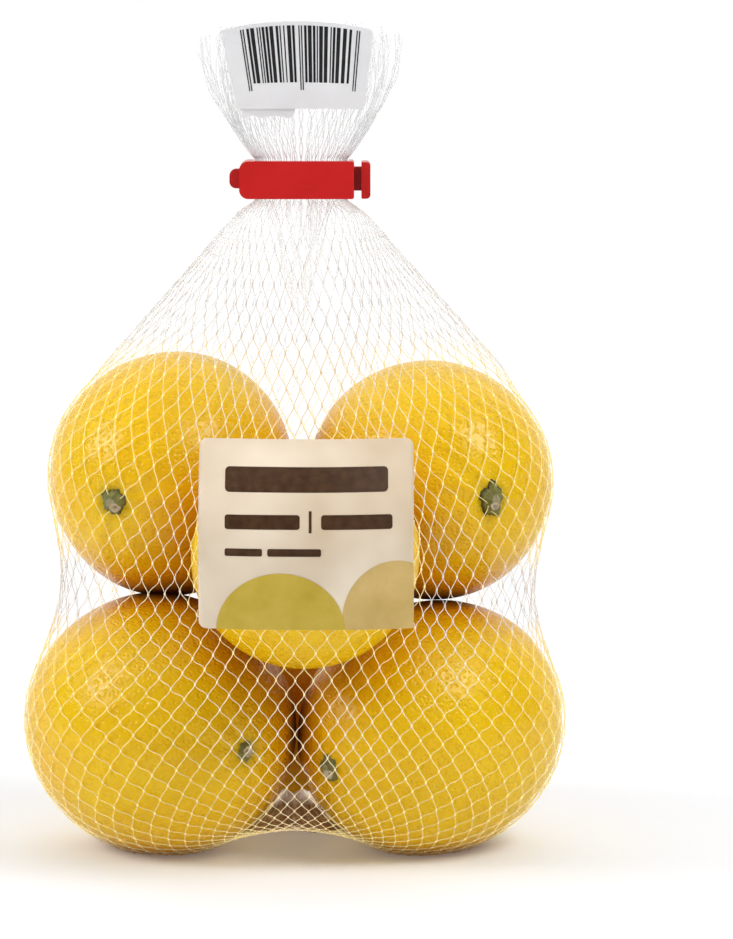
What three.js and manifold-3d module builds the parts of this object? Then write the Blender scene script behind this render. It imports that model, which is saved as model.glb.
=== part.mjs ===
// A net of lemons: six lemons in a clear plastic net, gathered at the top in a red clip, with a paper
// label on the front and a barcode tag on the loose tuft above the clip.
// Millimetres, +Z up, front towards -Y. The origin is on the floor, under the middle of the bag.

import * as THREE from 'three';
import { mergeVertices } from 'three/addons/utils/BufferGeometryUtils.js';
import Module from 'manifold-3d';

const wasm = await Module();
wasm.setup();

// ---------------------------------------------------------------- driving dimensions

const GAP = 0.3; // clearance between neighbouring pieces

// Each lemon: its middle, the way its stem end points, and its half sizes across, upright and along.
const LEMONS = {
  upperLeft: { at: [-27.7, 8.5, 82.8], stem: [-11.9, -28.5, -2.9], half: [26.7, 27.5, 31] },
  upperRight: { at: [30.5, 8.5, 81.5], stem: [13.7, -27.8, -1.2], half: [26.5, 27.1, 31] },
  front: { at: [3, -37.1, 70.1], stem: [9, -27, 8], half: [24.4, 24.4, 28.2] },
  lowerLeft: { at: [-29.9, -4.7, 28], stem: [20.3, -27, -1.6], half: [28.5, 29.2, 33.8] },
  lowerRight: { at: [30.8, -4.7, 27.1], stem: [-23.4, -21.8, -5.5], half: [26.9, 28.2, 32.4] },
  back: { at: [4.5, 40.2, 23.6], stem: [24, 9, 8], half: [24.3, 24.4, 29.1] },
};

// The net: cells around it, half rows of cells from the clip to the closure, and strand thickness.
const NET = { columns: 76, halfRows: 54, strand: 0.3 };
// Where the clip gathers the net: the middle of the flat neck, its half width and half thickness.
const NECK = { x: 1.8, y: -4.7, low: 145.1, high: 154.4, halfWidth: 10.2, halfDepth: 1.4 };
// Where the net is gathered shut under the lemons.
const CLOSURE = { x: 2.8, y: 8.9, z: 4.4, halfWidth: 6.6, halfDepth: 4.7 };
// The net stands open by itself above the lemons. It starts a little below the clip, and its half width and
// half depth grow with the drop from the clip, down to the tops of the lemons.
const SHOULDER = {
  start: 0.5, low: 106.2, halfWidth: 11.8, spread: 0.88, halfDepth: 3.8, deepen: 0.45, lean: 0.21,
};
// The net is clear, so the solid follows what shows through it: between the lemons it is drawn in until it
// meets one, by this much at most, and by this share of it at each height.
const HOLLOW = { depth: 8, evening: 3 };
const HOLLOW_SHARE = [[4, 0], [14, 1], [94, 1], [110, 0]];
// The tuft above the clip.
const TUFT = { halfRows: 8, height: 30.6, flare: 13.2, halfDepth: 6.6, fan: 98.7, pleats: 11, pleat: 0.05 };
// Below 1 the tuft widens soon above the clip and then runs straighter.
const TUFT_CURVE = { wide: 0.9, deep: 0.7 };

const LABEL = { x: 3.5, low: 58.5, high: 97.7, width: 45.4, corner: 1.6, thick: 0.4 };
// The label bulges most at its crest. The bend radii above it, below it and from side to side differ.
const LABEL_BEND = { front: -66.1, crest: 74.3, above: 22.6, below: 84.6, across: 84.6 };

// The tag is wider at its top, which sits a little to the left of its bottom.
const TAG = {
  x: 1.7, low: 165.6, high: 184.8, bottom: 28.3, top: 33.6, lean: 0.7, corner: 1.1, thick: 0.35,
};
// Radii of its bowed bottom and top edges, and of its bend back to the sides.
const TAG_BEND = { bottom: 500, top: 69.5, back: 103 };

const CLIP = { left: -11.8, right: 13.5, low: 145.7, high: 154, plate: 2.6 };
const CLIP_CORNERS = { left: 2, right: 0.5 };
const TONGUE = { thick: 2.3, lip: 0.4, corner: 0.4, bury: 1 };
const NUB = { length: 2.3, height: 4.3, corner: 1.5 };
const STALK = { length: 1.6, height: 5.3 };
const HEAD = { length: 2, depth: 7, lower: 0.2, innerCorner: 0.3, outerCorner: 0.9 };
const SHARP = 0.1; // corner radius of an edge that stays crisp
const CUT_PAST = 1; // how far a cut runs past the faces that it opens

// ---------------------------------------------------------------- small helpers

const { sin, cos, sqrt, max, min, PI, hypot } = Math;
const mix = (a, b, t) => a + (b - a) * t;
const NEARLY_ZERO = 1e-6;

// A value that runs through [place, value] stops in straight stretches.
function ramp(stops, t) {
  let k = 1;
  while (k < stops.length - 1 && t > stops[k][0]) k += 1;
  const [t0, v0] = stops[k - 1];
  const [t1, v1] = stops[k];
  return mix(v0, v1, min(1, max(0, (t - t0) / (t1 - t0))));
}

function geometryOf(points, triangles) {
  const geometry = new THREE.BufferGeometry();
  geometry.setAttribute('position', new THREE.Float32BufferAttribute(points.flat(), 3));
  geometry.setIndex(triangles.flat());
  return geometry;
}

// A closed geometry as a solid that can be cut and joined.
function solidOf(geometry) {
  const bare = geometry.clone();
  bare.deleteAttribute('normal');
  bare.deleteAttribute('uv');
  const merged = mergeVertices(bare, 1e-4);
  const vertProperties = new Float32Array(merged.attributes.position.array);
  const triVerts = new Uint32Array(merged.index.array);
  return new wasm.Manifold(new wasm.Mesh({ numProp: 3, vertProperties, triVerts }));
}

function geometryOfSolid(solid) {
  const { vertProperties, triVerts } = solid.getMesh();
  const geometry = new THREE.BufferGeometry();
  geometry.setAttribute('position', new THREE.BufferAttribute(new Float32Array(vertProperties), 3));
  geometry.setIndex(new THREE.BufferAttribute(new Uint32Array(triVerts), 1));
  return geometry;
}

function named(name, geometry, color, roughness) {
  geometry.computeVertexNormals();
  const material = new THREE.MeshStandardMaterial({ color, roughness, metalness: 0 });
  const mesh = new THREE.Mesh(geometry, material);
  mesh.name = name;
  return mesh;
}

// ---------------------------------------------------------------- the net

// A lemon as an ellipsoid that the net touches. Measured in its own reaches it is a ball of radius 1.
function lemonBody({ at, stem, half }) {
  const along = new THREE.Vector3(...stem).normalize();
  const across = new THREE.Vector3(0, 0, 1).cross(along).normalize();
  const axes = [across, along.clone().cross(across), along];
  const reach = half.map((size) => size + NET.strand);
  const middle = new THREE.Vector3(...at);
  const measured = (vector) => new THREE.Vector3(...axes.map((axis, k) => vector.dot(axis) / reach[k]));
  return {
    // Moves a point that is inside the lemon out to its skin.
    pushOut(point) {
      const inside = measured(point.clone().sub(middle));
      const depth = inside.length();
      if (depth >= 1) return;
      inside.divideScalar(max(depth, NEARLY_ZERO));
      point.copy(middle);
      axes.forEach((axis, k) => point.addScaledVector(axis, inside.getComponent(k) * reach[k]));
    },
    // How far a point is from the skin along a direction.
    distance(point, direction) {
      const start = measured(point.clone().sub(middle));
      const way = measured(direction);
      const past = start.lengthSq() - 1;
      if (past <= 0) return 0;
      const closing = -start.dot(way);
      const root = closing * closing - way.lengthSq() * past;
      return closing > 0 && root > 0 ? (closing - sqrt(root)) / way.lengthSq() : Infinity;
    },
  };
}

// Keeps the net from falling in between the clip and the upper lemons.
function holdOpen(point) {
  const drop = NECK.low - point.z;
  if (drop < SHOULDER.start || point.z < SHOULDER.low) return;
  const middle = NECK.y + SHOULDER.lean * drop;
  const across = (point.x - NECK.x) / (SHOULDER.halfWidth + SHOULDER.spread * drop);
  const deep = (point.y - middle) / (SHOULDER.halfDepth + SHOULDER.deepen * drop);
  const share = hypot(across, deep);
  if (share >= 1) return;
  point.x = NECK.x + (point.x - NECK.x) / share;
  point.y = middle + (point.y - middle) / share;
}

// The columns that a knot in an even or odd half row is tied to, alike in the half rows below and above it.
const tiedTo = (row, column) => {
  const { columns } = NET;
  return row % 2 ? [column, (column + 1) % columns] : [(column + columns - 1) % columns, column];
};

const angleOf = (row, column) => ((column + 0.5 * (row % 2)) / NET.columns) * 2 * PI;

// How the net is strained down its length, by share of the way from the clip to the closure.
const STRAND_LENGTH = [[0, 5.3], [0.35, 4.9], [0.5, 4.4], [0.6, 3.9], [0.8, 3.6], [1, 2.4]];
const PUSH_BACK = [[0, 0.1], [0.35, 0.1], [0.5, 0.03], [0.7, 0.02], [1, 0.01]];
const DRAW_IN = [[0, 0.04], [0.4, 0.04], [0.55, 0.2], [0.65, 0.2], [0.8, 0.2], [1, 0.2]];
const START_WIDTH = [[0, NECK.halfWidth], [0.3, 62], [0.8, 66], [1, CLOSURE.halfWidth]];
const START_DEPTH = [[0, NECK.halfDepth], [0.3, 62], [0.8, 62], [1, CLOSURE.halfDepth]];
const START_HEIGHT = [[0, NECK.low], [0.3, 98], [0.8, 11], [0.9, 0], [1, CLOSURE.z]];
const SETTLING = { rounds: 900, quietRounds: 150, pull: 0.22, stiffness: 0.1, carry: 0.8, weight: 0.01 };

const gridOf = (make) => Array.from({ length: NET.halfRows + 1 }, (_, row) =>
  Array.from({ length: NET.columns }, (__, column) => make(row, column)));

// At each knot, the mean of the values at the four knots that it is tied to, less its own.
function towardsTied(values) {
  const { columns, halfRows } = NET;
  const sums = gridOf(() => new THREE.Vector3());
  for (let row = 0; row < halfRows; row += 1) {
    for (let column = 0; column < columns; column += 1) {
      for (const below of tiedTo(row, column)) {
        sums[row][column].add(values[row + 1][below]);
        sums[row + 1][below].add(values[row][column]);
      }
    }
  }
  sums.forEach((line, row) => line.forEach((sum, column) => {
    sum.divideScalar(row % halfRows ? 4 : 2).sub(values[row][column]);
  }));
  return sums;
}

// The knots of the net, pulled by their strands and pushed out by the lemons and the floor until they settle.
function settledNet(lemons) {
  const { columns, halfRows } = NET;
  const share = (row) => row / halfRows;
  let knots = gridOf((row, column) => {
    const t = share(row);
    const angle = angleOf(row, column);
    const x = mix(NECK.x, CLOSURE.x, t) + ramp(START_WIDTH, t) * cos(angle);
    const y = mix(NECK.y, CLOSURE.y, t) + ramp(START_DEPTH, t) * sin(angle);
    return new THREE.Vector3(x, y, ramp(START_HEIGHT, t));
  });
  let before = knots;
  const strand = new THREE.Vector3();
  for (let round = 0; round < SETTLING.rounds; round += 1) {
    const carry = round < SETTLING.rounds - SETTLING.quietRounds ? SETTLING.carry : 0;
    const pulls = gridOf(() => new THREE.Vector3());
    for (let row = 0; row < halfRows; row += 1) {
      const t = share(row + 0.5);
      const length = ramp(STRAND_LENGTH, t);
      const pushBack = ramp(PUSH_BACK, t);
      for (let column = 0; column < columns; column += 1) {
        for (const below of tiedTo(row, column)) {
          strand.subVectors(knots[row + 1][below], knots[row][column]);
          const stretch = strand.length() - length;
          const force = SETTLING.pull * (stretch > 0 ? stretch : pushBack * stretch);
          strand.setLength(1).multiplyScalar(force);
          pulls[row][column].add(strand);
          pulls[row + 1][below].sub(strand);
        }
      }
    }
    const even = towardsTied(knots);
    const bend = towardsTied(even);
    const next = knots.map((line, row) => line.map((knot, column) => {
      if (row === 0 || row === halfRows) return knot;
      const moved = knot.clone().add(pulls[row][column]);
      moved.addScaledVector(even[row][column], ramp(DRAW_IN, share(row)));
      moved.addScaledVector(bend[row][column], -SETTLING.stiffness);
      moved.addScaledVector(knot, carry).addScaledVector(before[row][column], -carry);
      moved.z -= SETTLING.weight;
      holdOpen(moved);
      lemons.forEach((lemon) => lemon.pushOut(moved));
      moved.z = max(moved.z, 0);
      return moved;
    }));
    before = knots;
    knots = next;
  }
  return knots;
}

// The unit vector from a knot into the net.
function inwardFrom(knots, row, column) {
  const { columns } = NET;
  const line = knots[row];
  const across = line[(column + 1) % columns].clone().sub(line[(column + columns - 1) % columns]);
  const down = new THREE.Vector3();
  for (const tied of tiedTo(row, column)) down.add(knots[row + 1][tied]).sub(knots[row - 1][tied]);
  return across.cross(down).normalize();
}

// Draws the net in between the lemons, so that each of them shows.
function followLemons(knots, lemons) {
  const { halfRows } = NET;
  let shifts = knots.map((line, row) => line.map((knot, column) => {
    if (row === 0 || row === halfRows) return new THREE.Vector3();
    const inward = inwardFrom(knots, row, column);
    const free = min(...lemons.map((lemon) => lemon.distance(knot, inward)));
    return inward.multiplyScalar(min(free, HOLLOW.depth * ramp(HOLLOW_SHARE, knot.z)));
  }));
  for (let round = 0; round < HOLLOW.evening; round += 1) {
    const even = towardsTied(shifts);
    shifts = shifts.map((line, row) => line.map((shift, column) =>
      (row === 0 || row === halfRows ? shift : shift.add(even[row][column]))));
  }
  return knots.map((line, row) => line.map((knot, column) => {
    const moved = knot.clone().add(shifts[row][column]);
    lemons.forEach((lemon) => lemon.pushOut(moved));
    moved.z = max(moved.z, 0);
    return moved;
  }));
}

// Half width and half depth of the tuft at a share of its height.
const tuftWidth = (s) => NECK.halfWidth + TUFT.flare * sin((PI / 2) * s) ** TUFT_CURVE.wide;
const tuftDepth = (s) => NECK.halfDepth + (TUFT.halfDepth - NECK.halfDepth) * s ** TUFT_CURVE.deep;

function tuftKnot(row, column) {
  const s = 1 - row / (TUFT.halfRows - 1);
  const angle = angleOf(row, column);
  const pleat = 1 + TUFT.pleat * s * sin(TUFT.pleats * angle);
  const x = tuftWidth(s) * cos(angle) * pleat;
  const y = tuftDepth(s) * sin(angle) * pleat;
  const droop = (x * x * s) / (2 * TUFT.fan);
  return new THREE.Vector3(NECK.x + x, NECK.y + y, NECK.high + TUFT.height * s - droop);
}

function netBag() {
  const { columns } = NET;
  const tuft = Array.from({ length: TUFT.halfRows }, (_, row) =>
    Array.from({ length: columns }, (__, column) => tuftKnot(row, column)));
  const lemons = Object.values(LEMONS).map(lemonBody);
  const rows = [...tuft, ...followLemons(settledNet(lemons), lemons)];
  const points = rows.flat().map((knot) => knot.toArray());
  const index = (row, column) => row * columns + (column % columns);
  const triangles = [];
  for (let row = 0; row < rows.length - 1; row += 1) {
    for (let column = 0; column < columns; column += 1) {
      const [a, b] = [index(row, column), index(row, column + 1)];
      const [c, d] = [index(row + 1, column), index(row + 1, column + 1)];
      if (row % 2) triangles.push([a, d, b], [a, c, d]);
      else triangles.push([a, c, b], [b, c, d]);
    }
  }
  const lastRow = rows.length - 1;
  const meanOf = (line) => {
    const sum = new THREE.Vector3();
    line.forEach((knot) => sum.add(knot));
    return sum.divideScalar(columns);
  };
  const top = points.push(meanOf(rows[0]).toArray()) - 1;
  const bottom = points.push(meanOf(rows[lastRow]).toArray()) - 1;
  for (let column = 0; column < columns; column += 1) {
    triangles.push([top, index(0, column), index(0, column + 1)]);
    triangles.push([bottom, index(lastRow, column + 1), index(lastRow, column)]);
  }
  return named('net_bag', geometryOf(points, triangles), 0xe9b614, 0.45);
}

// ---------------------------------------------------------------- label and tag

// A thin sheet with rounded corners. place(across, up) gives the front face for distances in its own plane,
// and inset(up) gives how far the left and right edges draw in at a height.
function sheet({ steps, heights, halfWidth, inset, place, thick }) {
  const points = [];
  const triangles = [];
  const wide = steps + 1;
  const count = wide * heights.length;
  for (const back of [0, thick]) {
    for (const up of heights) {
      const [left, right] = inset(up);
      for (let k = 0; k < wide; k += 1) {
        const across = mix(-halfWidth + left, halfWidth - right, k / steps);
        const [x, y, z] = place(across, up);
        points.push([x, y + back, z]);
      }
    }
  }
  const quad = (a, b, c, d) => triangles.push([a, b, c], [a, c, d]);
  for (let line = 0; line < heights.length - 1; line += 1) {
    const [low, high] = [line * wide, (line + 1) * wide];
    for (let k = 0; k < steps; k += 1) {
      quad(low + k, low + k + 1, high + k + 1, high + k);
      quad(count + low + k, count + high + k, count + high + k + 1, count + low + k + 1);
    }
    quad(low, high, count + high, count + low);
    quad(low + steps, count + low + steps, count + high + steps, high + steps);
  }
  const lastLine = (heights.length - 1) * wide;
  for (let k = 0; k < steps; k += 1) {
    quad(k, count + k, count + k + 1, k + 1);
    quad(lastLine + k, lastLine + k + 1, count + lastLine + k + 1, count + lastLine + k);
  }
  return geometryOf(points, triangles);
}

// Heights that are close together round the corners and even between them.
function cornerHeights(low, high, corner, between) {
  const round = [0, 0.08, 0.3, 0.62, 1]; // shares of the corner radius
  const lower = round.map((share) => low + corner * share);
  const upper = round.map((share) => high - corner * share).reverse();
  const middle = [];
  for (let k = 1; k < between; k += 1) middle.push(mix(low + corner, high - corner, k / between));
  return [...lower, ...middle, ...upper];
}

// How far an edge draws in where its corner is rounded.
function cornerInset(up, low, high, corner) {
  const past = max(low + corner - up, up - (high - corner), 0);
  return corner - sqrt(max(corner * corner - past * past, 0));
}

function frontLabel() {
  const { x, low, high, width, corner, thick } = LABEL;
  const { front, crest, above, below, across: roll } = LABEL_BEND;
  const geometry = sheet({
    steps: 12,
    heights: cornerHeights(low, high, corner, 12),
    halfWidth: width / 2,
    thick,
    inset: (up) => [cornerInset(up, low, high, corner), cornerInset(up, low, high, corner)],
    place: (across, up) => {
      const radius = up > crest ? above : below;
      const back = (up - crest) ** 2 / (2 * radius) + across ** 2 / (2 * roll);
      return [x + across, front + back, up];
    },
  });
  return named('front_label', geometry, 0xe3d0b2, 0.5);
}

function barcodeTag() {
  const { low, high, corner, thick } = TAG;
  const rise = (up) => (up - low) / (high - low);
  const geometry = sheet({
    steps: 14,
    heights: cornerHeights(low, high, corner, 6),
    halfWidth: TAG.top / 2,
    thick,
    inset: (up) => {
      const taper = ((TAG.top - TAG.bottom) / 2) * (1 - rise(up));
      return [taper, taper + cornerInset(up, low, high, corner)];
    },
    place: (across, up) => {
      const bow = mix(1 / TAG_BEND.bottom, 1 / TAG_BEND.top, rise(up));
      const z = up - (bow * across ** 2) / 2;
      const forward = tuftDepth(min(1, (z - NECK.high) / TUFT.height)) * (1 + TUFT.pleat) + GAP + thick;
      const back = across ** 2 / (2 * TAG_BEND.back);
      return [TAG.x - TAG.lean * rise(up) + across, NECK.y - forward + back, z];
    },
  });
  return named('barcode_tag', geometry, 0xe9e8ea, 0.45);
}

// ---------------------------------------------------------------- clip

// A plate with an outline in X and Z, from its front face back.
function plate(outline, front, back) {
  const depth = back - front;
  const geometry = new THREE.ExtrudeGeometry(outline, { depth, bevelEnabled: false, curveSegments: 6 });
  geometry.rotateX(PI / 2);
  geometry.translate(0, back, 0);
  return solidOf(geometry);
}

function roundedOutline(left, right, low, high, leftCorner, rightCorner) {
  const shape = new THREE.Shape();
  shape.moveTo(left + leftCorner, low);
  shape.lineTo(right - rightCorner, low);
  shape.absarc(right - rightCorner, low + rightCorner, rightCorner, -PI / 2, 0, false);
  shape.absarc(right - rightCorner, high - rightCorner, rightCorner, 0, PI / 2, false);
  shape.absarc(left + leftCorner, high - leftCorner, leftCorner, PI / 2, PI, false);
  shape.absarc(left + leftCorner, low + leftCorner, leftCorner, PI, PI * 1.5, false);
  return shape;
}

const CLIP_BACK_OF_PLATE = NECK.y - NECK.halfDepth - GAP;
const CLIP_FRONT = CLIP_BACK_OF_PLATE - CLIP.plate;
const TONGUE_FRONT = NECK.y + NECK.halfDepth + GAP;
const TONGUE_BACK = TONGUE_FRONT + TONGUE.thick;
const CLIP_MIDDLE = (CLIP.low + CLIP.high) / 2;

// The outer bar in front of the net, with an end wall at each side that reaches back round the tongue.
function clipBody() {
  const { left, right, low, high } = CLIP;
  const outline = roundedOutline(left, right, low, high, CLIP_CORNERS.left, CLIP_CORNERS.right);
  const block = plate(outline, CLIP_FRONT, TONGUE_BACK);
  const wellHalf = NECK.halfWidth + GAP;
  const well = roundedOutline(
    NECK.x - wellHalf, NECK.x + wellHalf, low - CUT_PAST, high + CUT_PAST, SHARP, SHARP);
  const slotHalf = STALK.height / 2 + GAP;
  const slot = roundedOutline(
    left - CUT_PAST, right + CUT_PAST, CLIP_MIDDLE - slotHalf, CLIP_MIDDLE + slotHalf, SHARP, SHARP);
  const body = block
    .subtract(plate(well, CLIP_BACK_OF_PLATE, TONGUE_BACK + CUT_PAST))
    .subtract(plate(slot, TONGUE_FRONT - GAP, TONGUE_BACK + CUT_PAST));
  return named('clip_body', geometryOfSolid(body), 0xc9231f, 0.35);
}

// The inner bar behind the net: a round nub to the left, and a stalk with a cross head to the right.
function clipTongue() {
  const { lip, corner, bury } = TONGUE;
  const { left, right, low, high } = CLIP;
  const insideLeft = NECK.x - NECK.halfWidth;
  const insideRight = NECK.x + NECK.halfWidth;
  const headStart = right + STALK.length;
  const bar = roundedOutline(insideLeft, insideRight, low - lip, high - lip, corner, corner);
  const nub = roundedOutline(
    left - NUB.length, insideLeft + bury,
    CLIP_MIDDLE - NUB.height / 2, CLIP_MIDDLE + NUB.height / 2, NUB.corner, SHARP);
  const stalk = roundedOutline(
    insideRight - bury, headStart + bury,
    CLIP_MIDDLE - STALK.height / 2, CLIP_MIDDLE + STALK.height / 2, SHARP, SHARP);
  const head = roundedOutline(
    headStart, headStart + HEAD.length, low, high - HEAD.lower, HEAD.innerCorner, HEAD.outerCorner);
  const tongue = plate(bar, TONGUE_FRONT, TONGUE_BACK)
    .add(plate(nub, TONGUE_FRONT, TONGUE_BACK))
    .add(plate(stalk, TONGUE_FRONT, TONGUE_BACK))
    .add(plate(head, TONGUE_BACK - HEAD.depth, TONGUE_BACK));
  return named('clip_tongue', geometryOfSolid(tongue), 0xb81d1b, 0.35);
}

// ---------------------------------------------------------------- the whole

const netOfLemons = new THREE.Group();
netOfLemons.add(netBag(), frontLabel(), barcodeTag(), clipBody(), clipTongue());

export default netOfLemons;
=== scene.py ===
import math

import bmesh
import bpy
import numpy as np
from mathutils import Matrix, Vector, kdtree


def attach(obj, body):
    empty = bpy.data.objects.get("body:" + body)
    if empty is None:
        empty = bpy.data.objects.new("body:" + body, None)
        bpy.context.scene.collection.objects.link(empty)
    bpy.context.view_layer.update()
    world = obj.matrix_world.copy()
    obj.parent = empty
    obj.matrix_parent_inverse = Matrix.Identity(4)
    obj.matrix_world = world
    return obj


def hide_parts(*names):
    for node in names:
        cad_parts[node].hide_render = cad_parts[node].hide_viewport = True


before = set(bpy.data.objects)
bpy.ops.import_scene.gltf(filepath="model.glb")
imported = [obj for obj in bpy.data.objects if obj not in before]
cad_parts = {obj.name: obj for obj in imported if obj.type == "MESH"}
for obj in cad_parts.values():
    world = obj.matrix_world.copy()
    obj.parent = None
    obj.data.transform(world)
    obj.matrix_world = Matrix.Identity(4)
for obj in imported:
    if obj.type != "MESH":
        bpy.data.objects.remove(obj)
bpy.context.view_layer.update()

MM = 0.001

# ---------------------------------------------------------------- sizes, in millimetres, as in the part

LEMONS = {
    "upper_left": ((-27.7, 8.5, 82.8), (-11.9, -28.5, -2.9), (26.7, 27.5, 31)),
    "upper_right": ((30.5, 8.5, 81.5), (13.7, -27.8, -1.2), (26.5, 27.1, 31)),
    "front": ((3, -37.1, 70.1), (9, -27, 8), (24.4, 24.4, 28.2)),
    "lower_left": ((-29.9, -4.7, 28), (20.3, -27, -1.6), (28.5, 29.2, 33.8)),
    "lower_right": ((30.8, -4.7, 27.1), (-23.4, -21.8, -5.5), (26.9, 28.2, 32.4)),
    "back": ((4.5, 40.2, 23.6), (24, 9, 8), (24.3, 24.4, 29.1)),
}
COLUMNS, HALF_ROWS, STRAND = 64, 56, 0.3
# The columns crowd together at the two sides of the bag and stand apart on its front.
CROWD_SIDES, SPREAD_FRONT = 0.2, 0.2
NECK_X, NECK_Y, NECK_LOW, NECK_HIGH, NECK_HALF_WIDTH, NECK_HALF_DEPTH = 1.8, -4.7, 145.1, 154.4, 10.2, 1.4
CLOSURE_X, CLOSURE_Y, CLOSURE_Z, CLOSURE_HALF_WIDTH, CLOSURE_HALF_DEPTH = 2.8, -4, 9, 9, 4
SHOULDER = dict(half_width=11.8, spread=0.88, half_depth=3.8, deepen=0.45, lean=0.21, low=106.2, start=0.5)
STRAND_LENGTH = ((0, 4.9), (0.12, 4.7), (0.2, 4.2), (0.5, 4.4), (0.7, 4.7), (0.78, 3.6), (1, 1.4))
PUSH_BACK = ((0, 0.2), (0.7, 0.15), (1, 0.02))
DRAW_IN = ((0, 0.08), (0.2, 0.06), (0.55, 0.06), (0.65, 0.08), (0.8, 0.15), (1, 0.2))
START_WIDTH = ((0, NECK_HALF_WIDTH), (0.3, 62), (0.8, 66), (1, CLOSURE_HALF_WIDTH))
START_DEPTH = ((0, NECK_HALF_DEPTH), (0.3, 62), (0.8, 62), (1, CLOSURE_HALF_DEPTH))
START_HEIGHT = ((0, NECK_LOW), (0.3, 98), (0.8, 11), (0.9, 0), (1, CLOSURE_Z))
ROUNDS, QUIET_ROUNDS, PULL, STIFFNESS, CARRY, WEIGHT = 900, 150, 0.22, 0.1, 0.8, 0.01
# Where the net spans free it gives way inwards, by this share of the room behind it, at each height.
GIVE, GIVE_LIMIT = 0.22, 2.6
GIVE_SHARE = ((4, 0), (14, 1), (94, 1), (110, 0))
TUFT_HEIGHT, TUFT_FLARE, TUFT_HALF_DEPTH, TUFT_FAN = 30.6, 13.2, 6.6, 98.7
LABEL_X, LABEL_LOW, LABEL_HIGH, LABEL_WIDTH, LABEL_CORNER, LABEL_THICK = 3.5, 58.5, 97.7, 45.4, 1.6, 0.3
LABEL_FRONT, LABEL_CREST, LABEL_ABOVE, LABEL_BELOW, LABEL_ACROSS = -66.1, 74.3, 22.6, 84.6, 84.6
TAG_X, TAG_LOW, TAG_HIGH, TAG_BOTTOM, TAG_TOP, TAG_LEAN, TAG_CORNER = 1.7, 165.6, 184.8, 28.3, 33.6, 0.7, 1.1
TAG_BOW_BOTTOM, TAG_BOW_TOP, TAG_BEND, TAG_THICK = 500, 69.5, 103, 0.15

random = np.random.default_rng(7)


def curve(stops, t):
    return np.interp(t, [a for a, _ in stops], [b for _, b in stops])


def unit(values):
    return values / np.maximum(np.linalg.norm(values, axis=-1, keepdims=True), 1e-9)


def spread(angle):
    """The place round the bag of a column that would stand at this angle if the columns were even."""
    return angle - CROWD_SIDES * np.sin(2 * angle) + SPREAD_FRONT * np.cos(angle)


# ---------------------------------------------------------------- meshes

# The material slot of a piece and the node that it replaces.
BAG, LABEL, TAG = ("net_and_lemons", "net_bag"), ("label", "front_label"), ("tag", "barcode_tag")


def add_mesh(name, points, faces, material, owner=BAG):
    """A smooth piece from points in millimetres and faces that all have the same number of corners."""
    points = np.asarray(points, dtype=np.float64)
    faces = np.asarray(faces, dtype=np.int32)
    mesh = bpy.data.meshes.new(name)
    mesh.vertices.add(len(points))
    mesh.vertices.foreach_set("co", (points * MM).ravel())
    count, corners = faces.shape
    mesh.loops.add(count * corners)
    mesh.loops.foreach_set("vertex_index", faces.ravel())
    mesh.polygons.add(count)
    mesh.polygons.foreach_set("loop_start", np.arange(count, dtype=np.int32) * corners)
    mesh.polygons.foreach_set("use_smooth", np.full(count, True))
    mesh.update(calc_edges=True)
    mesh.validate()
    return add_piece(name, mesh, material, owner)


def in_scene(name, data):
    thing = bpy.data.objects.new(name, data)
    bpy.context.scene.collection.objects.link(thing)
    return thing


def add_piece(name, mesh, material, owner):
    slot, node = owner
    mesh.materials.append(material)
    piece = in_scene(name, mesh)
    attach(piece, "root")
    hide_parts(node)
    return piece


def paint(piece, key, values):
    """Stores a number for each point, for the material to read."""
    layer = piece.data.attributes.new(key, "FLOAT", "POINT")
    layer.data.foreach_set("value", np.asarray(values, dtype=np.float32).ravel())


def grid_faces(rows, columns, closed=False, offset=0):
    """Quads of a grid of points stored row by row. A closed grid joins its last column to its first."""
    r = np.arange(rows - 1)[:, None]
    c = np.arange(columns if closed else columns - 1)[None, :]
    n = (c + 1) % columns
    a, b = r * columns + c, r * columns + n
    quads = np.stack([a, b, b + columns, a + columns], -1)
    return quads.reshape(-1, 4) + offset


def repeated(faces, count, points):
    """The same faces for each of many like shapes, which have this number of points each."""
    return (faces[None] + (np.arange(count) * points)[:, None, None]).reshape(-1, faces.shape[1])


# ---------------------------------------------------------------- materials

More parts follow.
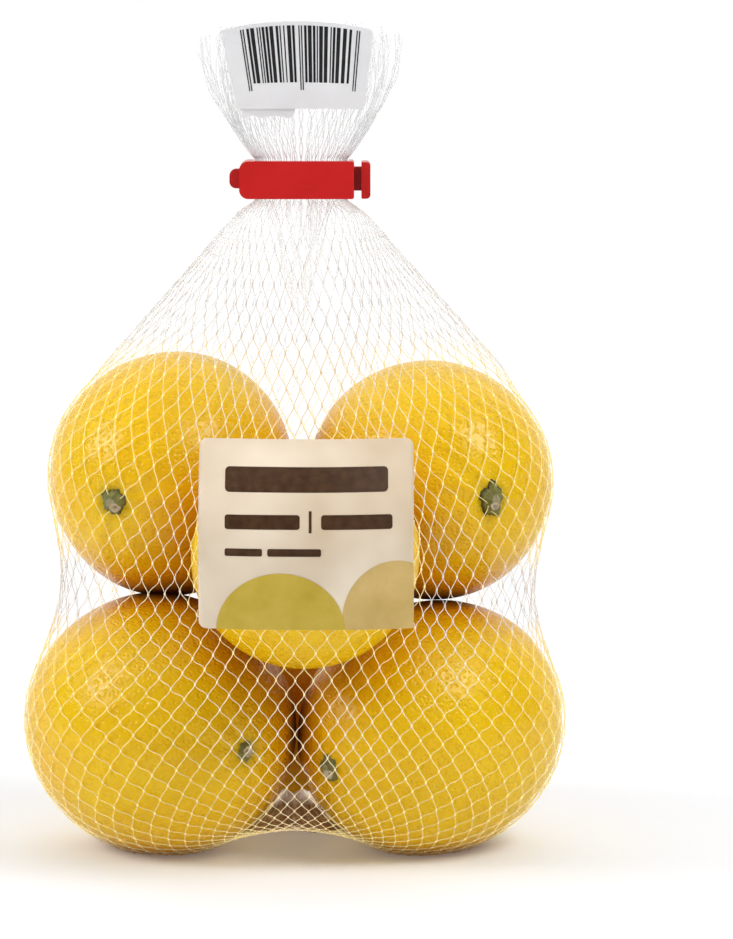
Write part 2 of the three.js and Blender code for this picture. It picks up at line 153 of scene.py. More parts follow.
class Nodes:
    """A small helper that builds one procedural material."""

    def __init__(self, name):
        self.material = bpy.data.materials.new(name)
        self.material.use_nodes = True
        self.tree = self.material.node_tree
        self.shader = self.tree.nodes["Principled BSDF"]

    def add(self, kind, **settings):
        node = self.tree.nodes.new("ShaderNode" + kind)
        for key, value in settings.items():
            if key in node.inputs:
                node.inputs[key].default_value = value
            else:
                setattr(node, key, value)
        return node

    def link(self, source, target):
        self.tree.links.new(source, target)

    def set(self, **values):
        """Sets inputs of the shader, or links them where a value comes from another node."""
        for key, value in values.items():
            socket = self.shader.inputs[key.replace("_", " ")]
            if isinstance(value, bpy.types.NodeSocket):
                self.link(value, socket)
            else:
                socket.default_value = value

    def place(self):
        """Object coordinates in millimetres."""
        mapping = self.add("Mapping", Scale=(1 / MM,) * 3)
        self.link(self.add("TexCoord").outputs["Object"], mapping.inputs["Vector"])
        return mapping.outputs["Vector"]

    def along(self, axis):
        """The object coordinate along one axis, in metres."""
        split = self.add("SeparateXYZ")
        self.link(self.add("TexCoord").outputs["Object"], split.inputs[0])
        return split.outputs[axis]

    def rise(self, value, low, high, start=0.0, end=1.0):
        """Goes from start to end while the value goes from low to high."""
        node = self.add("MapRange", **{"From Min": low, "From Max": high, "To Min": start, "To Max": end})
        self.link(value, node.inputs["Value"])
        return node.outputs["Result"]

    def noise(self, vector, scale, detail=2.0, roughness=0.5):
        node = self.add("TexNoise", Scale=scale, Detail=detail, Roughness=roughness)
        self.link(vector, node.inputs["Vector"])
        return node.outputs["Fac"]

    def ramp(self, value, *stops):
        """Stops are (place, colour or number)."""
        node = self.add("ValToRGB")
        elements = node.color_ramp.elements
        while len(elements) < len(stops):
            elements.new(0.5)
        for element, (place, colour) in zip(elements, stops):
            element.position = place
            element.color = (colour,) * 3 + (1,) if isinstance(colour, (int, float)) else (*colour, 1)
        self.link(value, node.inputs["Fac"])
        return node.outputs["Color"]

    def mix(self, factor, a, b, blend="MIX"):
        node = self.add("Mix", data_type="RGBA", blend_type=blend)
        for socket, value in ((node.inputs[0], factor), (node.inputs[6], a), (node.inputs[7], b)):
            if isinstance(value, bpy.types.NodeSocket):
                self.link(value, socket)
            elif isinstance(value, (int, float)):
                socket.default_value = value
            else:
                socket.default_value = (*value, 1)
        return node.outputs[2]

    def attribute(self, name):
        return self.add("Attribute", attribute_name=name).outputs["Fac"]

    def bump(self, height, strength, distance, below=None):
        node = self.add("Bump", Strength=strength, Distance=distance * MM)
        self.link(height, node.inputs["Height"])
        if below is not None:
            self.link(below, node.inputs["Normal"])
        return node.outputs["Normal"]


def lemon_skin(name, warm, seed):
    """Waxy yellow peel with pits, faint mottling, a greenish tinge at the stem, and painted shade: darker
    pits and deep shade in crevices.
    """
    n = Nodes(name)
    shifted = n.add("Mapping", Location=(seed * 7.3, seed * 3.1, seed * 5.7))
    n.link(n.place(), shifted.inputs["Vector"])
    vector = shifted.outputs["Vector"]
    broad = n.noise(vector, 0.05, 2.0)
    colour = n.ramp(broad, (0.3, (0.80 * warm, 0.485, 0.0025)), (0.7, (0.85, 0.56, 0.0035)))
    fine = n.noise(vector, 0.8, 3.0, 0.6)
    colour = n.mix(n.ramp(fine, (0.4, 0.0), (0.75, 0.25)), colour, (0.76, 0.39, 0.002))
    # Painted shade in the pits: they are coloured darker and more orange.
    colour = n.mix(n.ramp(n.attribute("pit"), (0.0, 0.0), (1.0, 0.45)), colour, (0.74, 0.34, 0.002))
    tinge = n.ramp(n.attribute("stem"), (0.0, 0.0), (0.35, 0.06), (0.7, 0.4), (1.0, 0.85))
    colour = n.mix(tinge, colour, (0.30, 0.27, 0.015))
    # Painted shade: orange, then dark brown, where the peel is pressed against another lemon or the floor;
    # there it is rougher too.
    depth = n.attribute("crevice_shade")
    colour = n.mix(n.ramp(depth, (0.06, 0.0), (0.3, 0.55), (0.5, 0.95)), colour, (0.62, 0.24, 0.0012))
    crevice_shade = n.ramp(depth, (0.5, 0.0), (0.78, 0.5), (1.0, 0.96))
    colour = n.mix(crevice_shade, colour, (0.13, 0.022, 0.0008))
    rough = n.ramp(n.noise(vector, 0.6, 2.0), (0.3, 0.19), (0.7, 0.30))
    rough = n.mix(crevice_shade, rough, (0.8,) * 3)
    cells = n.add("TexVoronoi", Scale=1.1, feature="SMOOTH_F1", Smoothness=0.5)
    n.link(vector, cells.inputs["Vector"])
    pores = n.ramp(cells.outputs["Distance"], (0.12, 0.0), (0.5, 1.0))
    large = n.bump(n.noise(vector, 0.22, 1.0), 0.35, 0.5)
    normal = n.bump(pores, 0.85, 0.16, large)
    normal = n.bump(n.noise(vector, 1.9, 2.0, 0.6), 0.35, 0.09, normal)
    n.set(Base_Color=colour, Roughness=rough, Normal=normal, Specular_IOR_Level=0.32, IOR=1.45)
    n.set(Subsurface_Weight=0.05, Subsurface_Scale=1.5 * MM, Subsurface_Radius=(1.0, 0.5, 0.1))
    return n.material


def stem_material():
    n = Nodes("stem_bud")
    vector = n.place()
    ring = n.attribute("ring")
    green = n.ramp(n.noise(vector, 1.3, 4.0, 0.7), (0.3, (0.06, 0.065, 0.01)), (0.7, (0.27, 0.26, 0.06)))
    # From 0.84 on the calyx is near black: partly its own dark rim, partly painted shade at its edge and
    # skirt.
    colour = n.ramp(ring, (0.0, (0.34, 0.26, 0.14)), (0.1, (0.66, 0.57, 0.42)), (0.26, (0.60, 0.50, 0.33)),
                    (0.34, (0.16, 0.155, 0.035)), (0.72, (0.19, 0.19, 0.04)), (0.84, (0.025, 0.022, 0.006)),
                    (1.0, (0.06, 0.04, 0.008)))
    colour = n.mix(n.ramp(ring, (0.3, 0.1), (0.4, 0.55), (0.8, 0.5), (0.9, 0.1)), colour, green)
    normal = n.bump(n.noise(vector, 1.6, 5.0, 0.7), 0.9, 0.3)
    n.set(Base_Color=colour, Roughness=0.55, Normal=normal)
    return n.material


def net_material(name, knots=False):
    """Thin clear plastic, painted with the yellow that fruit close behind it shows through it and casts on
    it, and grey where it spans free.
    """
    n = Nodes(name)
    grey = (0.72, 0.71, 0.70) if knots else (0.82, 0.81, 0.80)
    colour = n.ramp(n.attribute("free"), (0.0, (1.0, 0.87, 0.42)), (0.15, (1.0, 0.86, 0.45)),
                    (0.4, (1.0, 0.85, 0.54)), (0.85, (0.92, 0.83, 0.63)), (1.0, grey))
    # Shares that rise with the height in metres: out of the painted shade at the floor, past the fruit, to
    # the neck.
    height = n.along("Z")
    foot, cone, neck = n.rise(height, 0.0, 0.0045), n.rise(height, 0.109, 0.115), n.rise(height, 0.128, 0.146)
    colour = n.mix(cone, colour, grey)
    colour = n.mix(neck, colour, (0.88, 0.875, 0.87))
    # The strands at the floor are painted a dark brown for the shade there.
    colour = n.mix(foot, (0.30, 0.15, 0.04), colour)
    patchy = n.ramp(n.noise(n.place(), 0.35, 3.0), (0.3, 0.85), (0.7, 1.0))
    colour = n.mix(1.0, colour, patchy, "MULTIPLY")
    solid = 0.9 if knots else 0.66
    # The emission is a painted glow that brightens the thin strands.
    n.set(Base_Color=colour, Roughness=0.35, Specular_IOR_Level=0.2, Emission_Color=colour,
          Emission_Strength=0.25, Alpha=n.mix(neck, (solid,) * 3, (0.36,) * 3))
    return n.material


def gathered_material(name, low, high, alpha):
    """The same plastic where it is gathered in folds, with a faint painted glow for the light that scatters
    through it.
    """
    n = Nodes(name)
    colour = n.ramp(n.noise(n.place(), 0.3, 3.0), (0.3, (low,) * 3), (0.7, (high,) * 3))
    n.set(Base_Color=colour, Roughness=0.35, Specular_IOR_Level=0.2, Emission_Color=colour,
          Emission_Strength=0.14, Alpha=alpha)
    return n.material


def film_material():
    """The crinkled welded end of the net: a glossy film, painted brown for the shade that shows through it,
    milky along its folds and its top edge.
    """
    n = Nodes("film_plastic")
    vector = n.place()
    folds = n.noise(vector, 0.38, 3.0, 0.6)
    # The body's brown is painted shade seen through the clear film.
    body = n.ramp(folds, (0.35, (0.27, 0.13, 0.035)), (0.6, (0.40, 0.22, 0.08)), (0.75, (0.74, 0.58, 0.40)))
    edge = n.ramp(folds, (0.32, (0.62, 0.50, 0.38)), (0.5, (0.92, 0.86, 0.78)), (0.65, (1.0, 0.98, 0.94)))
    dense = n.attribute("dense")
    clear = n.ramp(folds, (0.4, 0.65), (0.6, 0.85))
    normal = n.bump(n.noise(vector, 0.6, 3.0, 0.6), 0.6, 0.5)
    n.set(Base_Color=n.mix(dense, body, edge), Alpha=n.mix(dense, clear, (0.95,) * 3))
    n.set(Roughness=0.28, Normal=normal, Specular_IOR_Level=0.5)
    # The glow on the milky folds and top edge is painted light.
    n.set(Emission_Color=n.mix(dense, (0.0,) * 3, (0.5, 0.46, 0.42)), Emission_Strength=0.5)
    return n.material


def clip_material(name, red):
    n = Nodes(name)
    cloudy = n.noise(n.place(), 0.12, 3.0)
    colour = n.ramp(cloudy, (0.3, (red * 0.92, 0.006, 0.005)), (0.7, (red, 0.009, 0.008)))
    n.set(Base_Color=colour, Roughness=0.26, Specular_IOR_Level=0.3)
    return n.material


def paper_material(name, low, high, cloud_scale, rough=0.42):
    """Smooth coated paper with soft cloudy shades and faint creases."""
    n = Nodes(name)
    vector = n.place()
    clouds = n.noise(vector, cloud_scale, 2.0, 0.45)
    colour = n.ramp(clouds, (0.32, low), (0.68, high))
    normal = n.bump(n.noise(vector, 0.07, 2.0), 0.6, 1.2)
    normal = n.bump(n.noise(vector, 2.5, 3.0), 0.12, 0.05, normal)
    n.set(Base_Color=colour, Roughness=rough, Normal=normal, Specular_IOR_Level=0.3)
    return n.material


def ink_material(name, low, high, scale=0.5):
    n = Nodes(name)
    colour = n.ramp(n.noise(n.place(), scale, 3.0), (0.3, low), (0.7, high))
    n.set(Base_Color=colour, Roughness=0.45, Specular_IOR_Level=0.2)
    return n.material


# ---------------------------------------------------------------- lemons

def lemon_frame(stem):
    along = np.array(stem, float)
    along /= np.linalg.norm(along)
    across = np.cross((0, 0, 1), along)
    across /= np.linalg.norm(across)
    return np.array([across, np.cross(along, across), along])


BULGES = {name: (np.array(at, float), lemon_frame(stem), np.array(half, float))
          for name, (at, stem, half) in LEMONS.items()}


def smooth_noise(directions, seed, waves=14, low=1.5, high=4.5):
    """Slow uneven swelling from 0 to 1 over the directions from a lemon's middle."""
    rng = np.random.default_rng(seed)
    total = np.zeros(len(directions))
    for _ in range(waves):
        wave = rng.normal(size=3)
        wave *= rng.uniform(low, high) / np.linalg.norm(wave)
        total += np.sin(directions @ wave + rng.uniform(0, 2 * math.pi))
    return 0.5 + 0.5 * np.tanh(total / math.sqrt(waves))


RINGS, SECTORS = 156, 262
# The peel swells unevenly, has ribs and a dimple at the stem, and narrows to a nipple at the other end.
SWELL, RIBS, DIMPLE, DIMPLE_WIDTH, NIPPLE = 0.022, 0.006, 0.035, 0.13, 0.42
PIT_SPACING, PIT_DEPTH, PIT_WIDTH, PIT_SCATTER = 1.35, 0.10, 0.42, 0.28
# How far from the stem the pits set in, over what width, and how far its green tinge reaches.
CALM_REACH, CALM_BLEND, TINGE_REACH = 2.5, 2, 4.2
REST_LIFT, REST_ROUND = 0.3, 0.25


def lemon_surface(directions, half, seed, room):
    """Points of the peel for unit directions in the lemon's own frame, whose third axis points to the stem.

    Where there is no room, because another lemon or the floor presses on it, the peel isn't drawn in."""
    x = directions[:, 2]
    nipple = 1 - NIPPLE * np.exp(-(((x + 0.93) / 0.05) ** 2))
    from_axis = np.hypot(directions[:, 0], directions[:, 1])
    dimple = DIMPLE * np.exp(-((from_axis / DIMPLE_WIDTH) ** 2)) * (x > 0)
    turn = np.arctan2(directions[:, 1], directions[:, 0])
    ribs = RIBS * np.sin(9 * turn + seed) * np.exp(-(((x - 0.9) / 0.12) ** 2))
    swell = 1 - SWELL * room * smooth_noise(directions, seed)
    shape = directions * (swell + ribs)[:, None]
    shape[:, :2] *= nipple[:, None]
    shape[:, 2] -= dimple
    return shape * half


CREVICE_REACH, FLOOR_REACH, FLOOR_SHADE = 6.0, 3.2, 0.6
# The undersides of the upper lemons get painted shade, as the lower ones shade them.
UNDERSIDE_SHADE, UNDERSIDE_ROOM = 0.06, 15


def above_peel(points, at, axes, half):
    """About how far points are above a lemon's skin."""
    local = ((points - at) @ axes.T) / half
    level = np.linalg.norm(local, axis=-1)
    slope = np.linalg.norm(local / half, axis=-1) / np.maximum(level, 1e-6)
    return (level - 1) / slope


def crevice_depth(points, own):
    """From 0 in the open to 1 where a point is pressed against another lemon or the floor."""
    total = FLOOR_SHADE * np.exp(-np.maximum(points[:, 2], 0) / FLOOR_REACH)
    for name, bulge in BULGES.items():
        if name != own:
            total = total + np.exp(-np.maximum(above_peel(points, *bulge), 0) / CREVICE_REACH)
    return np.clip(total, 0, 1)


def lemon(name, seed, material):
    at, axes, half = BULGES[name]
    polar = np.linspace(0, math.pi, RINGS + 1)[1:-1]
    turn = np.arange(SECTORS) * 2 * math.pi / SECTORS
    ring = np.stack([
        np.sin(polar)[:, None] * np.cos(turn),
        np.sin(polar)[:, None] * np.sin(turn),
        np.cos(polar)[:, None] * np.ones(SECTORS),
    ], -1).reshape(-1, 3)
    directions = np.vstack([[(0, 0, 1)], ring, [(0, 0, -1)]])
    bare = (directions * half) @ axes + at
    local = lemon_surface(directions, half, seed, 1 - crevice_depth(bare, name))

    # Pits: an even spiral of points, jittered, pressed in.
    area = 4 * math.pi * np.mean([half[0] * half[1], half[0] * half[2], half[1] * half[2]])
    count = int(area / PIT_SPACING ** 2)
    rng = np.random.default_rng(seed + 100)
    k = np.arange(count) + 0.5
    z = 1 - 2 * k / count
    angle = k * math.pi * (3 - math.sqrt(5))
    flat = np.sqrt(1 - z * z)
    centres = np.stack([flat * np.cos(angle), flat * np.sin(angle), z], -1) * half
    centres += rng.normal(scale=PIT_SCATTER, size=centres.shape)
    tree = kdtree.KDTree(count)
    for index, centre in enumerate(centres):
        tree.insert(centre, index)
    tree.balance()
    depth = rng.uniform(0.35, 1, size=count)
    away = np.empty(len(local))
    share = np.empty(len(local))
    for index, point in enumerate(local):
        _, found, distance = tree.find(point)
        away[index] = distance
        share[index] = depth[found]
    pit = share * np.exp(-((away / PIT_WIDTH) ** 2))
    normals = unit(local / half ** 2)
    from_stem = np.hypot(local[:, 0], local[:, 1]) + np.where(local[:, 2] > 0, 0, 99)
    calm = np.clip((from_stem - CALM_REACH) / CALM_BLEND, 0, 1)
    local = local - normals * (PIT_DEPTH * pit * calm)[:, None]

    points = local @ axes + at
    sunk = points[:, 2] - REST_LIFT
    points[:, 2] = REST_LIFT + 0.5 * (sunk + np.sqrt(sunk * sunk + REST_ROUND ** 2))

    last = len(points) - 1
    sides = grid_faces(RINGS - 1, SECTORS, closed=True, offset=1)[:, ::-1]
    sides = np.vstack([sides[:, [0, 1, 2]], sides[:, [0, 2, 3]]])
    c = np.arange(SECTORS)
    n = (c + 1) % SECTORS
    top = np.stack([np.zeros_like(c), 1 + c, 1 + n], -1)
    base = 1 + (RINGS - 2) * SECTORS
    bottom = np.stack([np.full_like(c, last), base + n, base + c], -1)
    piece = add_mesh("lemon_" + name, points, np.vstack([top, sides, bottom]), material)
    paint(piece, "pit", pit)
    paint(piece, "stem", np.exp(-((from_stem / TINGE_REACH) ** 2)))
    facing_down = np.clip(-(normals @ axes)[:, 2], 0, 1)
    raised = at[2] > half[2] + UNDERSIDE_ROOM
    # Painted shade for the peel: near other lemons, near the floor and under the upper lemons.
    paint(piece, "crevice_shade", np.clip(crevice_depth(points, name) + UNDERSIDE_SHADE * facing_down * raised, 0, 1))


STEM_SUNK, STEM_SKIRT = 0.35, 1.6


def stem_button(name, shape, seed, material):
    """The dried calyx in its dimple: a ragged green dome with a pale round scar and a dark edge, partly its
    own dark rim and partly painted shade where it meets the peel.
    """
    at, axes, half = BULGES[name]
    rng = np.random.default_rng(seed)
    rings, sectors = 30, 84
    share = np.linspace(0, 1.0, rings)
    turn = np.arange(sectors) * 2 * math.pi / sectors
    phase = rng.uniform(0, 2 * math.pi, 8)
    edge = 1 + shape["lobes"] * np.cos(5 * turn + phase[0]) + 0.07 * np.cos(3 * turn + phase[1])
    edge += 0.05 * np.cos(11 * turn + phase[2]) + 0.05 * np.cos(17 * turn + phase[3])
    s = share[:, None]
    out = s * (1 + (edge - 1) * s ** 1.5)
    x = shape["wide"] * out * np.cos(turn)
    y = shape["high"] * out * np.sin(turn)
    dome = shape["tall"] * (1 - s ** 2.6)
    ridges = 0.16 * np.cos(5 * turn + phase[0]) + 0.10 * np.cos(8 * turn + phase[5])
    ridges += 0.07 * np.cos(13 * turn + phase[6])
    height = dome * (1 + ridges * s) + rng.normal(scale=0.03, size=out.shape)
    away = np.hypot(x - shape["scar"][0], y - shape["scar"][1]) / shape["scar_size"]
    height += 0.35 * np.exp(-(((away - 1) / 0.3) ** 2)) - 0.35 * np.exp(-(away / 0.75) ** 4)
    dip = np.sqrt(np.clip(1 - (x / half[0]) ** 2 - (y / half[1]) ** 2, 0, 1))
    local = np.stack([x, y, half[2] * (1 - DIMPLE) * dip - STEM_SUNK + height], -1)
    skirt = local[-1] - np.array([0, 0, STEM_SKIRT])
    points = np.vstack([local.reshape(-1, 3), skirt]) @ axes + at
    piece = add_mesh("stem_" + name, points, grid_faces(rings + 1, sectors, closed=True), material)
    ring = np.minimum(0.28 * away ** 1.5, np.maximum(s, 0.3))
    ring = np.where(s > 0.8, np.maximum(ring, s), ring)
    paint(piece, "ring", np.concatenate([ring.ravel(), np.ones(sectors)]))


# ---------------------------------------------------------------- the net

# How far each strand leaves a knot along the net and not towards the next, and how wide it swings.
SWAY, SWING = 0.6, 1.15
KNOT_TALL, KNOT_WIDE, STRAND_RADIUS = 0.44, 0.26, 0.098
# One family of strands runs straight through its knots and the other crosses it in curves. Which one it is
# changes from the left of the bag to the right, and below the height of the label's foot.
STRAIGHTEN, STRAIGHTEN_WIDTH, SWAP_HEIGHT, SWAP_BLEND = 0.9, 22, 56, 6
# Where peel is this far behind a strand or farther, the strand counts as free of it.
FREE_REACH = 30
TUFT_HALF_ROWS = 8
FOLD_X, FOLD_HALF_WIDTH, FOLD_LENGTH = 1.6, 7.6, 30
# The welded end: the left and right ends of its upper and lower edge, its heights and its place in depth.
WELD_TOP, WELD_FOOT, WELD_LOW, WELD_HIGH, WELD_Y = (-6.2, 6.4), (-15.5, 19.5), 5.6, 14.4, -14.5


def push_out(points, clearance):
    """Moves points out of the lemons, to a clearance above their skins."""
    for at, axes, half in BULGES.values():
        reach = half + clearance
        local = ((points - at) @ axes.T) / reach
        depth = np.linalg.norm(local, axis=-1, keepdims=True)
        points = np.where(depth < 1, at + ((local / np.maximum(depth, 1e-6)) * reach) @ axes, points)
    return points


def hold_open(points):
    """Keeps the net from falling in between the clip and the upper lemons."""
    drop = NECK_LOW - points[..., 2]
    middle = NECK_Y + SHOULDER["lean"] * drop
    across = (points[..., 0] - NECK_X) / (SHOULDER["half_width"] + SHOULDER["spread"] * drop)
    deep = (points[..., 1] - middle) / (SHOULDER["half_depth"] + SHOULDER["deepen"] * drop)
    share = np.hypot(across, deep)
    inside = (share < 1) & (drop >= SHOULDER["start"]) & (points[..., 2] >= SHOULDER["low"])
    factor = np.where(inside, 1 / np.maximum(share, 1e-9), 1)
    points[..., 0] = NECK_X + (points[..., 0] - NECK_X) * factor
    points[..., 1] = middle + (points[..., 1] - middle) * factor
    return points


def settled_net():
    """The knots of the net, pulled by their strands and pushed out by the lemons until they settle."""
    rows = np.arange(HALF_ROWS + 1)
    t = rows / HALF_ROWS
    odd = (rows % 2)[:, None, None]
    angle = spread((np.arange(COLUMNS)[None, :] + 0.5 * (rows % 2)[:, None]) / COLUMNS * 2 * math.pi)
    mix = lambda a, b: (a * (1 - t) + b * t)[:, None]
    knots = np.stack([
        mix(NECK_X, CLOSURE_X) + curve(START_WIDTH, t)[:, None] * np.cos(angle),
        mix(NECK_Y, CLOSURE_Y) + curve(START_DEPTH, t)[:, None] * np.sin(angle),
        curve(START_HEIGHT, t)[:, None] * np.ones(COLUMNS),
    ], -1)
    top, bottom = knots[0].copy(), knots[-1].copy()
    between = t[:-1] + 0.5 / HALF_ROWS
    slack = 1 + 0.05 * random.standard_normal((2, HALF_ROWS, COLUMNS, 1))
    length = curve(STRAND_LENGTH, between)[:, None, None]
    push_back = curve(PUSH_BACK, between)[:, None, None]
    draw_in = curve(DRAW_IN, t)[:, None, None]
    ties = np.full((HALF_ROWS + 1, 1, 1), 4.0)
    ties[0] = ties[-1] = 2

    def below(values, side):
        low = values[1:]
        even = np.roll(low, 1, axis=1) if side == 0 else low
        uneven = low if side == 0 else np.roll(low, -1, axis=1)
        return np.where(odd[:-1] == 1, uneven, even)

    def back(values, side):
        even = np.roll(values, -1, axis=1) if side == 0 else values
        uneven = values if side == 0 else np.roll(values, 1, axis=1)
        return np.where(odd[:-1] == 1, uneven, even)

    def towards_tied(values):
        total = np.zeros_like(values)
        for side in (0, 1):
            total[:-1] += below(values, side)
            total[1:] += back(values[:-1], side)
        return total / ties - values

    before = knots.copy()
    for step in range(ROUNDS):
        carry = CARRY if step < ROUNDS - QUIET_ROUNDS else 0
        pulls = np.zeros_like(knots)
        for side in (0, 1):
            strand = below(knots, side) - knots[:-1]
            long = np.linalg.norm(strand, axis=-1, keepdims=True)
            stretch = long - length * slack[side]
            force = PULL * np.where(stretch > 0, stretch, push_back * stretch)
            pull = strand / np.maximum(long, 1e-9) * force
            pulls[:-1] += pull
            pulls[1:] -= back(pull, side)
        even = towards_tied(knots)
        moved = knots + pulls + draw_in * even - STIFFNESS * towards_tied(even) + carry * (knots - before)
        moved[..., 2] -= WEIGHT
        moved = push_out(hold_open(moved), STRAND)
        moved[..., 2] = np.maximum(moved[..., 2], 0)
        moved[0], moved[-1] = top, bottom
        before, knots = knots, moved
    return knots, below


def room_behind(points, inward):
    """How far each point is from the nearest peel along its inward direction."""
    nearest = np.full(points.shape[:-1], np.inf)
    for at, axes, half in BULGES.values():
        start, way = ((points - at) @ axes.T) / half, (inward @ axes.T) / half
        past = np.sum(start * start, -1) - 1
        closing, square = -np.sum(start * way, -1), np.sum(way * way, -1)
        root = closing * closing - square * past
        meets = (closing > 0) & (root > 0)
        distance = np.where(meets, (closing - np.sqrt(np.maximum(root, 0))) / square, np.inf)
        nearest = np.minimum(nearest, np.where(past <= 0, 0, distance))
    return nearest


def free_of_fruit(points, outward):
    """From 0 where peel lies close behind the net to 1 where there is none or it spans off the sides."""
    inward = -unit(outward)
    across = unit(np.cross(inward, (0.0, 0.0, 1.0)))
    upward = np.cross(across, inward)
    ways = [inward] + [inward + 0.5 * lean for lean in (across, -across, upward, -upward)]
    rooms = [np.clip((room_behind(points, unit(way)) - 2) / FREE_REACH, 0, 1) for way in ways]
    free = sum(rooms) / len(rooms)
    nearest = np.minimum.reduce([above_peel(points, *bulge) for bulge in BULGES.values()])
    sideways = np.clip((np.abs(inward[..., 0]) - 0.55) / 0.25, 0, 1) * np.clip((nearest - 0.8) / 3, 0, 1)
    return np.maximum(np.minimum(free, 0.85), sideways)


def add_strands(name, points, faces, free, material):
    piece = add_mesh(name, points, faces, material)
    paint(piece, "free", np.repeat(np.ravel(free), len(points) // np.size(free)))


def tubes(paths, outward, caps=False):
    """Thin four-sided strands along paths (count, steps, 3), all with the same number of steps."""
    count, steps, _ = paths.shape
    along = unit(np.gradient(paths, axis=1))
    first = unit(np.cross(along, outward))
    second = np.cross(first, along)
    turn = (np.arange(4) * math.pi / 2)[:, None]
    points = paths[:, :, None] + STRAND_RADIUS * (
        first[:, :, None] * np.cos(turn) + second[:, :, None] * np.sin(turn))
    one = grid_faces(steps, 4, closed=True)
    if caps:
        last = (steps - 1) * 4
        one = np.vstack([one, [(3, 2, 1, 0), (last, last + 1, last + 2, last + 3)]])
    return points.reshape(-1, 3), repeated(one, count, steps * 4)


def knot_beads(centres, down, outward, tall, wide):
    """Small welded knots: six-sided beads, longer along the net than across."""
    across = unit(np.cross(down, outward))
    turn = (np.arange(6) * math.pi / 3)[:, None]
    middle, reach = centres[:, None], (down * tall)[:, None]
    ring = 0.8 * wide * (across[:, None] * np.cos(turn) + outward[:, None] * np.sin(turn))
    points = np.concatenate([middle - reach, middle - 0.45 * reach + ring, middle + 0.45 * reach + ring,
                             middle + reach], 1)
    k = np.arange(6)
    n = (k + 1) % 6
    one = np.vstack([
        np.stack([np.zeros(6, int), 1 + n, 1 + k], -1),
        np.stack([1 + k, 1 + n, 7 + n], -1),
        np.stack([1 + k, 7 + n, 7 + k], -1),
        np.stack([np.full(6, 13), 7 + k, 7 + n], -1),
    ])
    return points.reshape(-1, 3), repeated(one, len(centres), 14)


def strand_paths(upper, lower, upper_down, lower_down, sway, steps=6):
    """Hermite curves that leave each knot along the net and cross over to the next: an S-shaped strand."""
    chord = lower - upper
    reach = np.linalg.norm(chord, axis=-1, keepdims=True)
    reach = reach * SWING
    start = unit(unit(chord) * (1 - sway) + upper_down * sway) * reach
    end = unit(unit(chord) * (1 - sway) + lower_down * sway) * reach
    s = np.linspace(0, 1, steps)[None, :, None]
    h0, h1 = 2 * s ** 3 - 3 * s ** 2 + 1, s ** 3 - 2 * s ** 2 + s
    h2, h3 = -2 * s ** 3 + 3 * s ** 2, s ** 3 - s ** 2
    return h0 * upper[:, None] + h1 * start[:, None] + h2 * lower[:, None] + h3 * end[:, None]


def build_net(material, knot):
    knots, below = settled_net()
    first = (np.arange(HALF_ROWS + 1) == 0)[:, None, None]
    down = np.zeros_like(knots)
    down[:-1] = (below(knots, 0) + below(knots, 1)) / 2 - knots[:-1]
    down[-1] = down[-2]
    above = np.where(first, down, np.roll(down, 1, axis=0))
    down = unit(unit(down) + unit(above))
    across = np.roll(knots, -1, axis=1) - np.roll(knots, 1, axis=1)
    outward = unit(np.cross(down, across))
    side = np.clip((knots[..., :1] - LABEL_X) / STRAIGHTEN_WIDTH, -1, 1)
    side = side * np.clip((knots[..., 2:] - SWAP_HEIGHT) / SWAP_BLEND, -1, 1)
    to_left, to_right = np.zeros_like(knots), np.zeros_like(knots)
    to_left[:-1] = unit(below(knots, 0) - knots[:-1])
    to_right[:-1] = unit(below(knots, 1) - knots[:-1])
    down = unit(down + STRAIGHTEN * (np.maximum(side, 0) * to_left + np.maximum(-side, 0) * to_right))
    give = np.minimum(GIVE * room_behind(knots, -outward), GIVE_LIMIT) * curve(GIVE_SHARE, knots[..., 2])
    for _ in range(4):
        beside = np.roll(give, 1, axis=1) + np.roll(give, -1, axis=1)
        give[1:-1] = (give[:-2] + give[2:] + beside[1:-1]) / 4
    knots = push_out(knots - outward * give[..., None], STRAND)
    knots[..., 2] = np.maximum(knots[..., 2], STRAND / 2)

    paths, normals = [], []
    for side in (0, 1):
        upper, lower = knots[:-1].reshape(-1, 3), below(knots, side).reshape(-1, 3)
        upper_down, lower_down = down[:-1].reshape(-1, 3), below(down, side).reshape(-1, 3)
        path = strand_paths(upper, lower, upper_down, lower_down, SWAY)
        path[:, 1:-1] = push_out(path[:, 1:-1], STRAND * 0.55)
        path[..., 2] = np.maximum(path[..., 2], STRAND / 2)
        paths.append(path)
        n0, n1 = outward[:-1].reshape(-1, 1, 3), below(outward, side).reshape(-1, 1, 3)
        s = np.linspace(0, 1, path.shape[1])[None, :, None]
        normals.append(n0 * (1 - s) + n1 * s)
    path, normal = np.concatenate(paths), np.concatenate(normals)
    front = normal[:, 2, 1] < 0
    for name, chosen in (("net_front", front), ("net_back", ~front)):
        points, faces = tubes(path[chosen], normal[chosen])
        add_strands(name, points, faces, free_of_fruit(path[chosen], normal[chosen]), material)
    tall = KNOT_TALL * (0.8 + 0.4 * random.random((HALF_ROWS * COLUMNS, 1)))
    points, faces = knot_beads(knots[1:].reshape(-1, 3), down[1:].reshape(-1, 3), outward[1:].reshape(-1, 3),
                               tall, KNOT_WIDE)
    add_strands("net_knots", points, faces, free_of_fruit(knots[1:], outward[1:]), knot)
    return knots


def tuft_width(s):
    return NECK_HALF_WIDTH + TUFT_FLARE * np.sin(math.pi / 2 * s) ** 0.9


def tuft_depth(s):
    return NECK_HALF_DEPTH + (TUFT_HALF_DEPTH - NECK_HALF_DEPTH) * s ** 0.7


